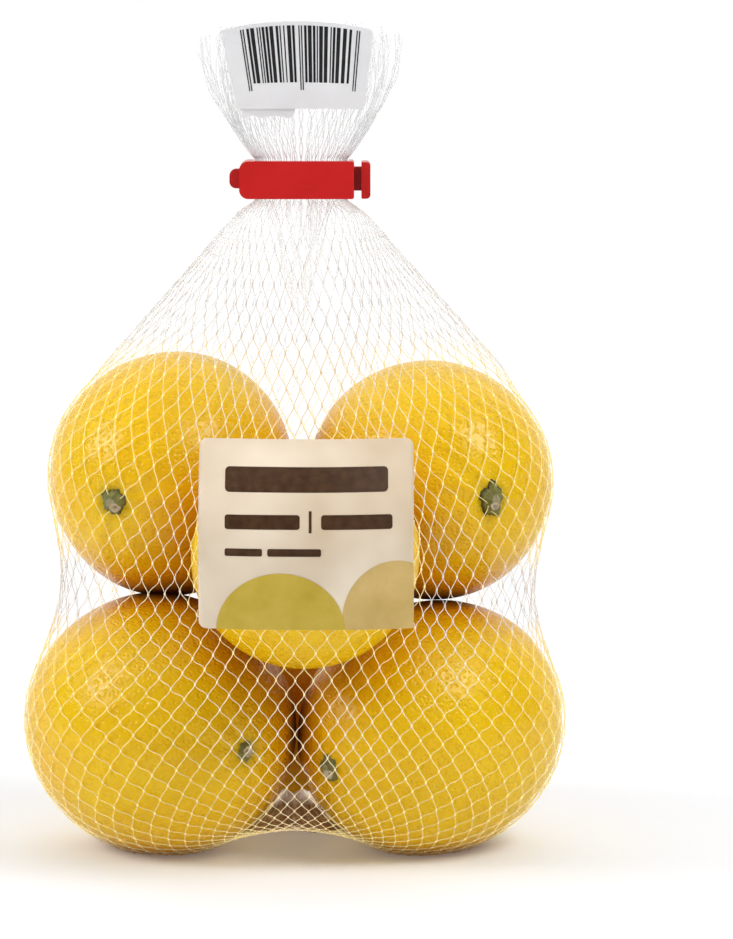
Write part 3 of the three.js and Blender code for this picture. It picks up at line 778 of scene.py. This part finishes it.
def build_tuft(neck, material):
    """The gathered net inside the clip and the loose end above it, cut off unevenly."""
    rng = np.random.default_rng(31)
    steps = 26
    count = 2 * COLUMNS
    s = np.linspace(0, 1, steps)[None, :]
    column = np.repeat(np.arange(COLUMNS), 2)[:, None]
    side = np.tile((1, -1), COLUMNS)[:, None]
    turn = 2 * math.pi / COLUMNS
    reach = rng.uniform(0.86, 1.0, (count, 1)) * s
    sway = 0.3 * turn * side * np.sin(math.pi * (TUFT_HALF_ROWS * reach + 0.5 * (column % 2)))
    angle = spread(column * turn) + sway + rng.normal(scale=0.6 * turn, size=(count, 1)) * reach
    bow = rng.normal(scale=0.8, size=(count, 1)) * np.sin(math.pi * reach) * reach
    curl = 0.3 * rng.normal(size=(count, 1)) * reach
    curl = curl * np.sin(2 * math.pi * (1.3 * reach + rng.random((count, 1))))
    inner = 1 - rng.uniform(0, 0.45, (count, 1)) * reach
    x = tuft_width(reach) * np.cos(angle) * inner + bow + curl
    y = tuft_depth(reach) * np.sin(angle) * inner
    z = NECK_HIGH + TUFT_HEIGHT * reach - x * x * reach / (2 * TUFT_FAN)
    path = np.stack([NECK_X + x, NECK_Y + y, z], -1)
    points, faces = tubes(path, np.broadcast_to((0.0, -1.0, 0.0), path.shape), caps=True)
    add_mesh("net_tuft", points, faces, material)
    inside = np.linspace(0, 1, 3)[None, :, None]
    low, high = np.repeat(neck, 2, axis=0)[:, None], path[:, :1]
    facing = np.broadcast_to((0.0, -1.0, 0.0), (count, 3, 3))
    points, faces = tubes(low + (high - low) * inside, facing)
    add_mesh("net_gathered_in_clip", points, faces, material)


def build_fold(material):
    """The pleat of the net that hangs inwards below the clip, where the net was drawn together."""
    rng = np.random.default_rng(53)
    count, steps = 40, 16
    s = np.linspace(0, 1, steps)[None, :]
    place = rng.uniform(-1, 1, (count, 1))
    length = rng.uniform(0.55, 1.0, (count, 1))
    drop = s * length
    x = FOLD_X + FOLD_HALF_WIDTH * place * (1 - 0.93 * drop ** 0.9) + 0.35 * np.sin(14 * drop + 9 * place)
    y = NECK_Y + 0.8 * NECK_HALF_DEPTH * np.sin(7 * place) * (1 - drop) + 5.5 * drop * np.sin(5 * place + 1)
    z = NECK_LOW - FOLD_LENGTH * drop
    path = np.stack([x, y, z], -1)
    points, faces = tubes(path, np.broadcast_to((0.0, -1.0, 0.0), path.shape), caps=True)
    add_mesh("net_fold", points, faces, material)


def bottom_bunch(material):
    """The crinkled welded end of the net that shows between the two lower lemons."""
    rng = np.random.default_rng(5)
    columns, rows = 150, 50
    u = np.linspace(-1, 1, columns)[None, :]
    v = np.linspace(0, 1, rows)[:, None]
    flare = (1 - v) ** 1.6
    left = WELD_TOP[0] + (WELD_FOOT[0] - WELD_TOP[0]) * flare
    right = WELD_TOP[1] + (WELD_FOOT[1] - WELD_TOP[1]) * flare
    x = left + (right - left) * (u + 1) / 2
    crest = WELD_HIGH - 1.6 * np.abs(u - 0.1) ** 3 + 0.2 * np.sin(17 * u + 1)
    crest = crest - 0.9 * np.exp(-(((u + 0.05) / 0.13) ** 2))
    z = WELD_LOW + (crest - WELD_LOW) * v
    y = WELD_Y + 2.5 * v
    for _ in range(26):
        k = rng.uniform(2.0, 16)
        lean = rng.uniform(-0.5, 0.5)
        wave = np.sin(k * (u * 2 + lean * v) + rng.uniform(0, 6))
        y = y + 1.1 / k * (1 - 2 * np.abs(wave)) * rng.uniform(0.3, 1.0)
        z = z + 0.2 / k * wave
    points = push_out(np.stack([x, y, z], -1).reshape(-1, 3), 0.4)
    piece = add_mesh("net_welded_end", points, grid_faces(rows, columns), material)
    crinkle = np.clip((v - 0.62) / 0.25, 0, 1) * np.clip(1.6 * np.abs(u + 0.05), 0.25, 1)
    side = np.clip((np.abs(u) - 0.86) / 0.12, 0, 1) * 0.6
    paint(piece, "dense", np.maximum(crinkle, side))
    thick = piece.modifiers.new("thickness", "SOLIDIFY")
    thick.thickness = 0.1 * MM


# ---------------------------------------------------------------- label, tag and their print

def label_place(across, up, out=0.0):
    """A point on the label, across from its middle and up from the floor, out in front of its face."""
    radius = np.where(up > LABEL_CREST, LABEL_ABOVE, LABEL_BELOW)
    back = (up - LABEL_CREST) ** 2 / (2 * radius) + across ** 2 / (2 * LABEL_ACROSS)
    wave = 0.12 * np.sin(across * 0.23 + up * 0.11) + 0.10 * np.sin(up * 0.31 - across * 0.13 + 1.7)
    return np.stack([LABEL_X + across, LABEL_FRONT + 0.1 + back + wave - out, up], -1)


def tag_place(across, up, out=0.0):
    """A point on the tag, across from its middle, which narrows towards the bottom, and up from the floor."""
    rise = (up - TAG_LOW) / (TAG_HIGH - TAG_LOW)
    x = across * (TAG_BOTTOM + (TAG_TOP - TAG_BOTTOM) * rise) / TAG_TOP
    bow = (1 - rise) / TAG_BOW_BOTTOM + rise / TAG_BOW_TOP
    z = up - bow * x ** 2 / 2
    s = np.clip((z - NECK_HIGH) / TUFT_HEIGHT, 0, 1)
    forward = tuft_depth(s) * 1.05 + 0.3 + 0.35
    y = NECK_Y - forward + x ** 2 / (2 * TAG_BEND) - 0.10 * np.sin(across * 0.35 + 0.6) * s - out
    return np.stack([TAG_X - TAG_LEAN * rise + x, y, z], -1)


def corner_inset(up, low, high, corner):
    past = np.maximum(np.maximum(low + corner - up, up - (high - corner)), 0)
    return corner - np.sqrt(np.maximum(corner ** 2 - past ** 2, 0))


def sheet(name, place, low, high, width, corners, thick, columns, rows, material, owner):
    """A thin sheet with a front and a back face and rounded corners, one radius at the left and one right."""
    corner = max(corners)
    ease = np.linspace(0, 1, 7)
    heights = np.concatenate([low + corner * ease ** 2, np.linspace(low + corner, high - corner, rows)[1:-1],
                              (high - corner * ease ** 2)[::-1]])
    left = -width / 2 + corner_inset(heights, low, high, corners[0])
    right = width / 2 - corner_inset(heights, low, high, corners[1])
    share = np.linspace(0, 1, columns)
    across = left[:, None] * (1 - share) + right[:, None] * share
    up = np.broadcast_to(heights[:, None], across.shape)
    front, back = place(across, up, 0.0), place(across, up, -thick)
    count = len(heights)
    total = count * columns
    faces = [grid_faces(count, columns), grid_faces(count, columns, offset=total)[:, ::-1]]
    along, up = np.arange(columns), np.arange(count) * columns
    lines = [up, (up + columns - 1)[::-1], along + total - columns, along[::-1]]
    for line in lines:
        a, b = line[:-1], line[1:]
        faces.append(np.stack([a, b, b + total, a + total], -1))
    points = np.concatenate([front.reshape(-1, 3), back.reshape(-1, 3)])
    add_mesh(name, points, np.vstack(faces), material, owner)


def printed(name, outlines, place, material, owner, lift=0.05, step=1.5):
    """Flat printed shapes that follow a sheet. Each outline is a loop of (across, up) points."""
    shape = bmesh.new()
    for outline in outlines:
        shape.faces.new([shape.verts.new((x, 0, z)) for x, z in outline])
    xs = [v.co.x for v in shape.verts]
    zs = [v.co.z for v in shape.verts]
    for axis, low, high in ((0, min(xs), max(xs)), (2, min(zs), max(zs))):
        normal = Vector((1, 0, 0)) if axis == 0 else Vector((0, 0, 1))
        for cut in np.arange(low + step, high, step):
            geometry = shape.verts[:] + shape.edges[:] + shape.faces[:]
            bmesh.ops.bisect_plane(shape, geom=geometry, dist=1e-5, plane_co=normal * float(cut),
                                   plane_no=normal)
    flat = np.array([v.co for v in shape.verts])
    placed = place(flat[:, 0], flat[:, 2], lift) * MM
    for vertex, point in zip(shape.verts, placed):
        vertex.co = point
    shape.normal_update()
    if shape.faces[:] and sum(face.normal.y for face in shape.faces) > 0:
        bmesh.ops.reverse_faces(shape, faces=shape.faces[:])
    mesh = bpy.data.meshes.new(name)
    shape.to_mesh(mesh)
    shape.free()
    add_piece(name, mesh, material, owner)


def bar(left, right, low, high, radius=0):
    """The outline of a bar, with rounded corners if a radius is given."""
    if not radius:
        return [(left, low), (right, low), (right, high), (left, high)]
    loop = []
    for cx, cz, start in ((right - radius, low + radius, -90), (right - radius, high - radius, 0),
                          (left + radius, high - radius, 90), (left + radius, low + radius, 180)):
        for k in range(7):
            angle = math.radians(start + 15 * k)
            loop.append((cx + radius * math.cos(angle), cz + radius * math.sin(angle)))
    return loop


def clipped_oval(cx, cz, half_x, half_z, low, right, steps=72):
    """An oval cut off at the sheet's lower and right edge."""
    loop = []
    for k in range(steps):
        angle = 2 * math.pi * k / steps
        point = (min(cx + half_x * math.cos(angle), right), max(cz + half_z * math.sin(angle), low))
        if not loop or math.dist(point, loop[-1]) > 1e-4:
            loop.append(point)
    return loop


# The print on the label: bars by their left and right ends, foot, top and corner radius, and ovals by their
# middle and their half sizes, cut off a little inside the sheet's edges.
LABEL_BARS = ((-17.1, 17.3, 87.4, 92.4, 0.9), (-17.1, -1.3, 79.9, 82.9, 0.6), (0.6, 1.2, 79.2, 83.7),
              (3.2, 18.2, 79.9, 82.9, 0.6), (-17.1, -9.2, 74.3, 75.9, 0.4), (-8.1, 3.2, 74.3, 75.9, 0.4))
LEFT_OVAL, RIGHT_OVAL, OVAL_INSET = (-5.4, 58.2, 13.6, 12.5), (19.0, 60.5, 11.4, 12.7), 0.02


def build_label():
    paper = paper_material("label_paper", (0.66, 0.52, 0.36), (0.86, 0.74, 0.58), 0.05)
    sheet("label_sheet", label_place, LABEL_LOW, LABEL_HIGH, LABEL_WIDTH, (LABEL_CORNER,) * 2, LABEL_THICK,
          50, 50, paper, LABEL)
    dark = ink_material("dark_print", (0.045, 0.018, 0.006), (0.08, 0.036, 0.014))
    printed("label_print_bars", [bar(*sizes) for sizes in LABEL_BARS], label_place, dark, LABEL)
    edges = LABEL_LOW + OVAL_INSET, LABEL_WIDTH / 2 - OVAL_INSET
    olive = ink_material("olive_print", (0.50, 0.35, 0.03), (0.62, 0.45, 0.07), 0.15)
    gold = ink_material("gold_print", (0.54, 0.37, 0.11), (0.68, 0.48, 0.18), 0.15)
    printed("label_print_right_oval", [clipped_oval(*RIGHT_OVAL, *edges)], label_place, gold, LABEL)
    printed("label_print_left_oval", [clipped_oval(*LEFT_OVAL, *edges)], label_place, olive, LABEL, 0.10)


# The bars on the tag: their left and right ends, tops and feet, and the feet of the longer guard bars.
BARS_LEFT, BARS_RIGHT, BARS_HIGH, BARS_LOW, GUARDS_LOW, MODULES = -12.6, 14.0, 183.9, 171.4, 169.7, 95
# The second layer that shows below the tag: how far left, down and behind it lies, and its size.
REAR_LEFT, REAR_DROP, REAR_BEHIND, REAR_WIDTH, REAR_HEIGHT = 8.4, 1.8, 0.3, 13.9, 9


def rear_place(across, up, out=0.0):
    return tag_place(across - REAR_LEFT, up - REAR_DROP + 0.25 * np.sin(across), out - REAR_BEHIND)


def build_tag():
    paper = paper_material("tag_paper", (0.79, 0.78, 0.79), (0.86, 0.85, 0.86), 0.08, 0.38)
    sheet("tag_sheet", tag_place, TAG_LOW, TAG_HIGH, TAG_TOP, (0, TAG_CORNER), TAG_THICK, 60, 40, paper, TAG)
    sheet("tag_rear_sheet", rear_place, TAG_LOW, TAG_LOW + REAR_HEIGHT, REAR_WIDTH, (0, TAG_CORNER),
          TAG_THICK, 40, 30, paper, TAG)
    dark = ink_material("bar_print", (0.010, 0.009, 0.010), (0.022, 0.020, 0.022))
    rng = np.random.default_rng(12)
    left, right = BARS_LEFT, BARS_RIGHT
    module, middle = (right - left) / MODULES, (left + right) / 2
    bars = []
    for edge in (left, left + 2 * module, middle - 1.5 * module, middle + 0.5 * module,
                 right - 3 * module, right - module):
        bars.append(bar(edge, edge + module, GUARDS_LOW, BARS_HIGH))
    for edge, end in ((left + 5 * module, middle - 3 * module), (middle + 3 * module, right - 5 * module)):
        while end - edge > 0.5 * module:
            wide = min(module * rng.integers(1, 4), end - edge)
            bars.append(bar(edge, edge + wide, BARS_LOW, BARS_HIGH))
            edge += wide + module * rng.integers(1, 3)
    printed("tag_print_bars", bars, tag_place, dark, TAG, 0.04, 3.0)


# ---------------------------------------------------------------- clip

def dress_clip():
    # The tongue's red is a little darker: painted shade on the lip that shows below the body.
    for name, red in (("clip_body", 0.60), ("clip_tongue", 0.54)):
        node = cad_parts[name]
        node.data.materials.clear()
        node.data.materials.append(clip_material("red_plastic_" + name, red))
        bevel = node.modifiers.new("worn_edges", "BEVEL")
        bevel.width = 0.45 * MM
        bevel.segments = 4
        bevel.limit_method = "ANGLE"
        bevel.angle_limit = math.radians(35)
        bevel.harden_normals = True


# ---------------------------------------------------------------- build

# The stem ends: half sizes across and upright, height of the dome, raggedness, and the scar on it.
STEMS = {
    "upper_left": dict(wide=3.3, high=3.2, tall=2.6, lobes=0.07, scar=(0.9, -1.0), scar_size=1.05),
    "upper_right": dict(wide=2.9, high=4.3, tall=2.7, lobes=0.13, scar=(-0.3, -1.2), scar_size=0.9),
    "front": dict(wide=3.1, high=3.1, tall=2.0, lobes=0.12, scar=(0, 0), scar_size=1.0),
    "lower_left": dict(wide=2.4, high=3.0, tall=1.4, lobes=0.05, scar=(0.1, 0.1), scar_size=1.2),
    "lower_right": dict(wide=3.0, high=3.9, tall=1.9, lobes=0.16, scar=(0.7, -1.0), scar_size=1.1),
    "back": dict(wide=2.9, high=2.8, tall=1.8, lobes=0.12, scar=(0.2, 0.3), scar_size=1.0),
}
bud = stem_material()
for seed, name in enumerate(LEMONS, 1):
    lemon(name, seed, lemon_skin("peel_" + name, 1.0 + 0.02 * math.sin(seed * 2.1), seed))
    stem_button(name, STEMS[name], 40 + seed, bud)
knots = build_net(net_material("net_plastic"), net_material("knot_plastic", knots=True))
build_tuft(knots[0], gathered_material("gathered_plastic", 0.72, 0.89, 0.5))
build_fold(gathered_material("fold_plastic", 0.86, 0.94, 0.32))
bottom_bunch(film_material())
build_label()
build_tag()
dress_clip()

# ---------------------------------------------------------------- floor, light and camera

def backdrop_material():
    material = bpy.data.materials.new("backdrop_light")
    material.use_nodes = True
    tree = material.node_tree
    tree.nodes.clear()
    output = tree.nodes.new("ShaderNodeOutputMaterial")
    glow = tree.nodes.new("ShaderNodeEmission")
    glow.inputs["Color"].default_value = (1, 1, 1, 1)
    glow.inputs["Strength"].default_value = 1.0
    tree.links.new(glow.outputs["Emission"], output.inputs["Surface"])
    return material


def stage_plane(name, corners, material):
    mesh = bpy.data.meshes.new(name)
    mesh.from_pydata(corners, [], [(0, 1, 2, 3)])
    mesh.materials.append(material)
    in_scene(name, mesh)


floor_nodes = Nodes("pale_floor")
# Behind the bag the floor goes over from paper that is lit to a glow as bright as the backdrop.
glow = floor_nodes.rise(floor_nodes.along("Y"), 0.05, 0.6, 0.1, 1.0)
floor_nodes.set(Base_Color=floor_nodes.mix(glow, (0.90, 0.92, 0.955), (0.0,) * 3), Roughness=0.8,
                Specular_IOR_Level=0.1, Emission_Color=(1, 1, 1, 1), Emission_Strength=glow)
stage_plane("floor", [(-3, -3, 0), (3, -3, 0), (3, 3, 0), (-3, 3, 0)], floor_nodes.material)
stage_plane("backdrop", [(-4, 2.2, -1), (4, 2.2, -1), (4, 2.2, 3.5), (-4, 2.2, 3.5)], backdrop_material())


def look_from(thing, target, way, distance):
    """Puts a light or a camera at a distance from its target and turns it there."""
    thing.location = target + way * distance
    thing.rotation_mode = "QUATERNION"
    thing.rotation_quaternion = (-way).to_track_quat("-Z", "Y")


LIT_POINT = Vector((0, 0, 0.075))


def area_light(name, direction, distance, size, power):
    data = bpy.data.lights.new(name, "AREA")
    data.shape = "RECTANGLE"
    data.size, data.size_y = size
    data.energy = power
    look_from(in_scene(name, data), LIT_POINT, Vector(direction).normalized(), distance)


area_light("softbox_left", (-0.83, -0.2, 0.54), 1.0, (0.38, 0.45), 5.3)
area_light("softbox_right", (0.60, -0.38, 0.72), 1.0, (0.38, 0.45), 5.3)
area_light("overhead", (0.0, 0.1, 1.0), 1.3, (2.2, 2.2), 11.5)
area_light("front_fill", (0.0, -1.0, 0.45), 1.4, (2.2, 1.4), 2.4)

world = bpy.data.worlds.new("studio")
world.use_nodes = True
world.node_tree.nodes["Background"].inputs["Color"].default_value = (1, 1, 1, 1)
world.node_tree.nodes["Background"].inputs["Strength"].default_value = 0.1
bpy.context.scene.world = world
bpy.context.scene.view_settings.view_transform = "Standard"

# What the camera looks at, how far off and how steeply, and its focal length and picture height in pixels.
AIM, DISTANCE, PITCH = Vector((16.23, -12.22, 86.17)) * MM, 1.034, math.radians(7)
SENSOR, FOCAL_PIXELS, PICTURE_PIXELS = 36, 4681, 939
camera_data = bpy.data.cameras.new("camera")
camera_data.sensor_width = SENSOR
camera_data.lens = FOCAL_PIXELS / PICTURE_PIXELS * SENSOR
camera_data.clip_start, camera_data.clip_end = 0.05, 20
camera = in_scene("camera", camera_data)
look_from(camera, AIM, Vector((0, -math.cos(PITCH), math.sin(PITCH))), DISTANCE)
bpy.context.scene.camera = camera
